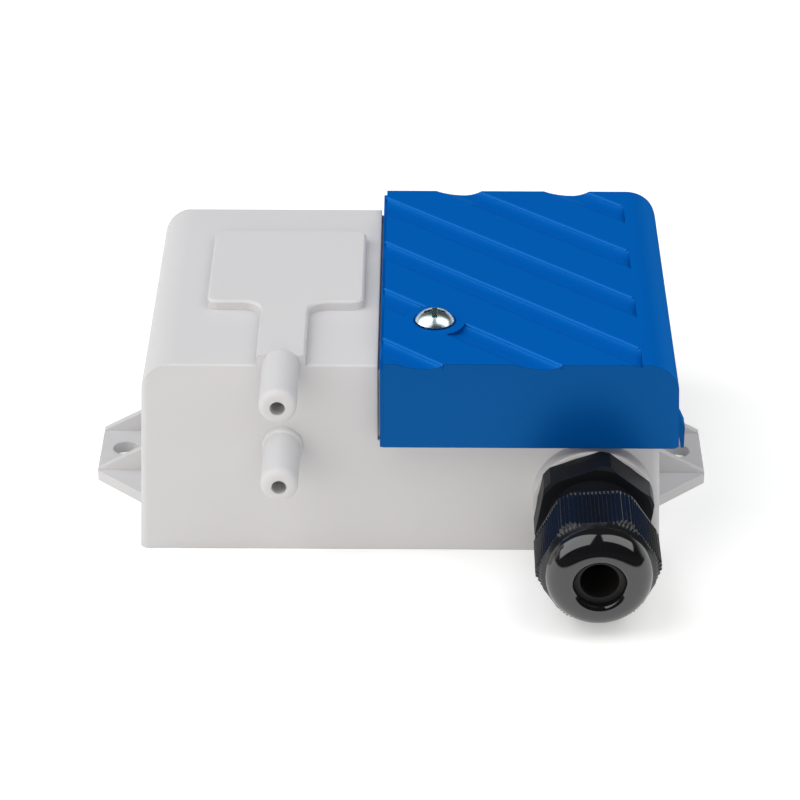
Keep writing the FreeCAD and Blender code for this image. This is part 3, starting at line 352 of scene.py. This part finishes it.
def addLidPaintedShadeAndSheen(material, values):
    # painted shade: the sides of the lid are painted deeper in colour than its top, by how far each face
    # tilts from upward; its sheen is blue
    nodes, links = material.node_tree.nodes, material.node_tree.links
    shader = nodes["Principled BSDF"]
    colour = shader.inputs["Base Color"].links[0].from_socket
    split = nodes.new("ShaderNodeSeparateXYZ")
    links.new(nodes.new("ShaderNodeNewGeometry").outputs["Normal"], split.inputs[0])
    # painted shade mask: faces that tilt away from upward take the darker painted colour
    paintedShadeMask = nodes.new("ShaderNodeMapRange")
    paintedShadeMask.inputs["From Min"].default_value, paintedShadeMask.inputs["From Max"].default_value = values["paintedShadeTilt"]
    links.new(split.outputs["Z"], paintedShadeMask.inputs["Value"])
    mix = nodes.new("ShaderNodeMix")
    mix.data_type = "RGBA"
    mix.inputs["A"].default_value = values["paintedShadeColour"]
    links.new(colour, mix.inputs["B"])
    links.new(paintedShadeMask.outputs[0], mix.inputs["Factor"])
    links.new(mix.outputs["Result"], shader.inputs["Base Color"])
    sheen = nodes.new("ShaderNodeBsdfGlossy")
    sheen.inputs["Color"].default_value = values["sheen"]
    sheen.inputs["Roughness"].default_value = values["rough"]
    links.new(shader.inputs["Normal"].links[0].from_socket, sheen.inputs["Normal"])
    both = nodes.new("ShaderNodeAddShader")
    links.new(shader.outputs[0], both.inputs[0])
    links.new(sheen.outputs[0], both.inputs[1])
    links.new(both.outputs[0], nodes["Material Output"].inputs["Surface"])


materials = {name: makeFinish(name, look, fineTexture) for name, look in finishes.items()}
addLidPaintedShadeAndSheen(materials["lid_blue"], lidPaintedShadeAndSheen)
for part in record["subparts"]:
    node = frame["nodes"][part["node"]]
    node.data.materials.clear()
    node.data.materials.append(materials[part["material_slot"]])
print("finishes made")

glandNut = {
    # the outline, from the back face round the outside to the hollow: each point is how far it
    # stands in front of the back face and how far from the axis, in millimetres
    "skin": [(0.0, 8.05), (0.0, 10.0), (0.15, 10.3), (0.5, 10.5)],
    "gripEnd": 9.2,
    "gripRings": 16,
    "shoulder": (10.6, 8.95),
    "shoulderRings": 4,
    "domeRound": 4.0,
    "domeRings": 14,
    "hollow": [(14.6, 4.75), (14.45, 4.55), (14.1, 4.25), (12.95, 4.25), (12.95, 6.7), (12.1, 6.8),
               (6.5, 7.4), (6.5, 8.05)],
    # metres from here on, apart from counts
    "centre": (0.033, 0.0109),
    "acrossFlats": 0.019,
    "firstCorner": 3.7,  # degrees
    "ribs": 88,
    "stepsPerRib": 6,
    "ribDepth": 0.00032,
    "ribPower": 0.8,  # under 1 makes the crests narrower than the valleys
    "ribStart": 0.0003,
    "ribEnd": 0.0097,
    "plainPast": 0.0009,  # how far past the ribs their finish goes on
    "skinShare": 0.985,  # what is nearer the axis than this share of the flats is hollow, not skin
}


def nutOutline(values):
    outline = list(values["skin"])
    gripStart, corner = outline[-1]
    gripLength = values["gripEnd"] - gripStart
    rings = values["gripRings"]
    outline += [(gripStart + gripLength * i / rings, corner) for i in range(1, rings + 1)]

    shoulderEnd, base = values["shoulder"]
    for i in range(1, values["shoulderRings"] + 1):
        share = i / values["shoulderRings"]
        outline.append((values["gripEnd"] + (shoulderEnd - values["gripEnd"]) * share,
                        corner + (base - corner) * share))

    bend = values["domeRound"]
    for i in range(1, values["domeRings"] + 1):
        turn = math.pi / 2 * i / values["domeRings"]
        outline.append((shoulderEnd + bend * math.sin(turn), base - bend + bend * math.cos(turn)))
    return outline + values["hollow"]


def turnedShell(name, outline, centre, back, steps):
    # a closed shell turned about an axis along Y
    shell = bmesh.new()
    rings = []
    for ahead, radius in outline:
        ring = []
        for i in range(steps):
            angle = 2 * math.pi * i / steps
            ring.append(shell.verts.new((centre[0] + radius / 1000 * math.cos(angle),
                                         back - ahead / 1000,
                                         centre[1] + radius / 1000 * math.sin(angle))))
        rings.append(ring)
    for ring, following in zip(rings, rings[1:] + rings[:1]):
        for i in range(steps):
            j = (i + 1) % steps
            shell.faces.new((ring[i], ring[j], following[j], following[i]))
    bmesh.ops.recalc_face_normals(shell, faces=shell.faces)
    mesh = bpy.data.meshes.new(name)
    shell.to_mesh(mesh)
    shell.free()
    piece = bpy.data.objects.new(name, mesh)
    bpy.context.collection.objects.link(piece)
    return piece


def startTree(name, inputs):
    # a geometry tree with named inputs: the tree, its sockets by name and what they give
    tree = bpy.data.node_groups.new(name, "GeometryNodeTree")
    face = tree.interface
    face.new_socket("Geometry", in_out="INPUT", socket_type="NodeSocketGeometry")
    sockets = {label: face.new_socket(label, in_out="INPUT", socket_type=kind).identifier
               for label, kind in inputs.items()}
    face.new_socket("Geometry", in_out="OUTPUT", socket_type="NodeSocketGeometry")
    return tree, sockets, tree.nodes.new("NodeGroupInput").outputs


def endTree(tree, shape, paints):
    # makes the shape real and paints it: each paint is a material and where it goes, None for all over
    solid = tree.nodes.new("GeometryNodeRealizeInstances")
    tree.links.new(shape, solid.inputs[0])
    shape = solid.outputs[0]
    for material, where in paints:
        paint = tree.nodes.new("GeometryNodeSetMaterial")
        paint.inputs["Material"].default_value = material
        tree.links.new(shape, paint.inputs["Geometry"])
        if where is not None:
            tree.links.new(where, paint.inputs["Selection"])
        shape = paint.outputs[0]
    tree.links.new(shape, tree.nodes.new("NodeGroupOutput").inputs[0])


def ribbedGrip(polished, plain):
    # trims a turned shell to a hexagon and cuts fine ribs round it; the ribs get the plain finish
    names = ("Centre X", "Centre Z", "Across Flats", "First Corner", "Ribs", "Rib Depth", "Rib Power",
             "Rib Front", "Rib Back", "Plain Past", "Skin Share")
    tree, sockets, size = startTree("ribbedGrip", {name: "NodeSocketFloat" for name in names})
    nodes, links = tree.nodes, tree.links

    def calc(kind, *values):
        return mathNode(tree, kind, *values)

    split = nodes.new("ShaderNodeSeparateXYZ")
    links.new(nodes.new("GeometryNodeInputPosition").outputs[0], split.inputs[0])
    x = calc("SUBTRACT", split.outputs["X"], size["Centre X"])
    z = calc("SUBTRACT", split.outputs["Z"], size["Centre Z"])
    along = split.outputs["Y"]
    radius = calc("SQRT", calc("ADD", calc("MULTIPLY", x, x), calc("MULTIPLY", z, z)))
    angle = calc("ARCTAN2", z, x)

    # distance from the axis to the hexagon in this direction
    sixth = math.pi / 3
    inSide = calc("FLOORED_MODULO", calc("SUBTRACT", angle, size["First Corner"]), sixth)
    half = calc("MULTIPLY", size["Across Flats"], 0.5)
    hexagon = calc("DIVIDE", half, calc("COSINE", calc("SUBTRACT", inSide, sixth / 2)))
    trimmed = calc("MINIMUM", radius, hexagon)

    # valleys as deep as the ribs, on the outer skin and between the two ends only
    wave = calc("COSINE", calc("MULTIPLY", angle, size["Ribs"]))
    valley = calc("POWER", calc("MULTIPLY_ADD", wave, -0.5, 0.5), size["Rib Power"])
    front = calc("GREATER_THAN", along, size["Rib Front"])
    back = calc("LESS_THAN", along, size["Rib Back"])
    outside = calc("GREATER_THAN", trimmed, calc("MULTIPLY", half, size["Skin Share"]))
    where = calc("MULTIPLY", calc("MULTIPLY", front, back), outside)
    cut = calc("MULTIPLY", calc("MULTIPLY", valley, size["Rib Depth"]), where)
    wanted = calc("SUBTRACT", trimmed, cut)

    nearAxis = 0.0001  # keeps the division safe
    scale = calc("DIVIDE", wanted, calc("MAXIMUM", radius, nearAxis))
    placed = nodes.new("ShaderNodeCombineXYZ")
    links.new(calc("MULTIPLY_ADD", x, scale, size["Centre X"]), placed.inputs["X"])
    links.new(along, placed.inputs["Y"])
    links.new(calc("MULTIPLY_ADD", z, scale, size["Centre Z"]), placed.inputs["Z"])
    move = nodes.new("GeometryNodeSetPosition")
    links.new(size["Geometry"], move.inputs["Geometry"])
    links.new(placed.outputs[0], move.inputs["Position"])
    plainFront = calc("SUBTRACT", size["Rib Front"], size["Plain Past"])
    grip = calc("GREATER_THAN", along, plainFront)
    endTree(tree, move.outputs[0], [(polished, None), (plain, grip)])
    return tree, sockets


def plainMesh(piece, tree, sockets, values, sharpAngle=38):
    # runs the tree on the piece and keeps the result as a plain mesh
    modifier = piece.modifiers.new("shape", "NODES")
    modifier.node_group = tree
    for name, value in values.items():
        modifier[sockets[name]] = value
    graph = bpy.context.evaluated_depsgraph_get()
    mesh = bpy.data.meshes.new_from_object(piece.evaluated_get(graph))
    piece.modifiers.remove(modifier)
    piece.data = mesh
    for polygon in mesh.polygons:
        polygon.use_smooth = True
    mesh.set_sharp_from_angle(angle=math.radians(sharpAngle))


def makeGlandNut(values):
    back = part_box("gland_nut")[1][1]
    piece = turnedShell("ribbed_gland_nut", nutOutline(values), values["centre"], back,
                        values["ribs"] * values["stepsPerRib"])
    tree, sockets = ribbedGrip(materials["gland_gloss"], materials["rib_black"])
    plainMesh(piece, tree, sockets, {
        "Centre X": values["centre"][0], "Centre Z": values["centre"][1],
        "Across Flats": values["acrossFlats"], "First Corner": math.radians(values["firstCorner"]),
        "Ribs": float(values["ribs"]), "Rib Depth": values["ribDepth"], "Rib Power": values["ribPower"],
        "Rib Front": back - values["ribEnd"], "Rib Back": back - values["ribStart"],
        "Plain Past": values["plainPast"], "Skin Share": values["skinShare"]})
    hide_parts("gland_nut")
    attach(piece, "gland_cap")


makeGlandNut(glandNut)
print("gland nut made")

lidTrim = {
    # all in millimetres; the rounded crest of each groove: start and end in plan
    "crests": [((-2.8, -23.19), (7.4, -32.53)), ((-2.8, -4.94), (4.7, -11.81)),
               ((11.2, -17.77), (27.3, -32.52)), ((-2.8, 13.31), (40.4, -26.26)),
               ((-2.8, 31.56), (40.4, -8.01)), ((14.8, 33.69), (40.4, 10.24)),
               ((34.7, 33.71), (40.4, 28.49))],
    "crestHeight": 37.30,
    "crestRadius": 0.54,
    "crestSides": 16,
    # the lip along the seam: its outer and inner corners, from front to back and upwards
    "lipOuter": [(-33.24, 22.05), (-32.70, 36.85), (33.90, 36.85), (34.45, 22.05)],
    "lipInner": [(-32.05, 22.05), (-31.55, 35.70), (32.75, 35.70), (33.26, 22.05)],
    "lipFrom": -3.42,  # left and right side
    "lipTo": -2.86,
}


def crestBead(material):
    # turns each loose edge into a round bead
    tree, sockets, given = startTree("crestBead", {"Radius": "NodeSocketFloat", "Sides": "NodeSocketInt"})
    nodes, links = tree.nodes, tree.links
    line = nodes.new("GeometryNodeMeshToCurve")
    links.new(given["Geometry"], line.inputs[0])
    ring = nodes.new("GeometryNodeCurvePrimitiveCircle")
    links.new(given["Sides"], ring.inputs["Resolution"])
    links.new(given["Radius"], ring.inputs["Radius"])
    bead = nodes.new("GeometryNodeCurveToMesh")
    bead.inputs["Fill Caps"].default_value = True
    links.new(line.outputs[0], bead.inputs["Curve"])
    links.new(ring.outputs[0], bead.inputs["Profile Curve"])
    endTree(tree, bead.outputs[0], [(material, None)])
    return tree, sockets


def newPiece(name, points, edges, faces):
    # points in millimetres
    mesh = bpy.data.meshes.new(name)
    mesh.from_pydata([tuple(v / 1000 for v in point) for point in points], edges, faces)
    piece = bpy.data.objects.new(name, mesh)
    bpy.context.collection.objects.link(piece)
    return piece


def faceOutwards(mesh):
    work = bmesh.new()
    work.from_mesh(mesh)
    bmesh.ops.recalc_face_normals(work, faces=work.faces)
    work.to_mesh(mesh)
    work.free()


def makeCrests(values, material):
    points = [(*end, values["crestHeight"]) for ends in values["crests"] for end in ends]
    pairs = [(i, i + 1) for i in range(0, len(points), 2)]
    crests = newPiece("lid_groove_crests", points, pairs, [])
    tree, sockets = crestBead(material)
    plainMesh(crests, tree, sockets, {"Radius": values["crestRadius"] / 1000, "Sides": values["crestSides"]})
    faceOutwards(crests.data)
    return crests


def makeLip(values, material):
    outer, inner = values["lipOuter"], values["lipInner"]
    ends = (values["lipFrom"], values["lipTo"])
    points = [(x, *corner) for x in ends for corner in outer + inner]
    count = len(outer)
    faces = []
    for i in range(count - 1):
        left = (i, i + 1, count + i + 1, count + i)
        right = tuple(2 * count + n for n in left)
        skin = (left[0], left[1], right[1], right[0])
        underside = (left[3], left[2], right[2], right[3])
        faces += [left, right, skin, underside]
    for i in (0, count - 1):
        faces.append((i, count + i, 3 * count + i, 2 * count + i))
    lip = newPiece("lid_seam_lip", points, [], faces)
    lip.data.materials.append(material)
    faceOutwards(lip.data)
    return lip


def makeLidTrim(values, material):
    for piece in (makeCrests(values, material), makeLip(values, material)):
        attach(piece, "lid")


makeLidTrim(lidTrim, materials["lid_blue"])
print("lid trim made")

bpy.context.scene.view_settings.view_transform = "Standard"
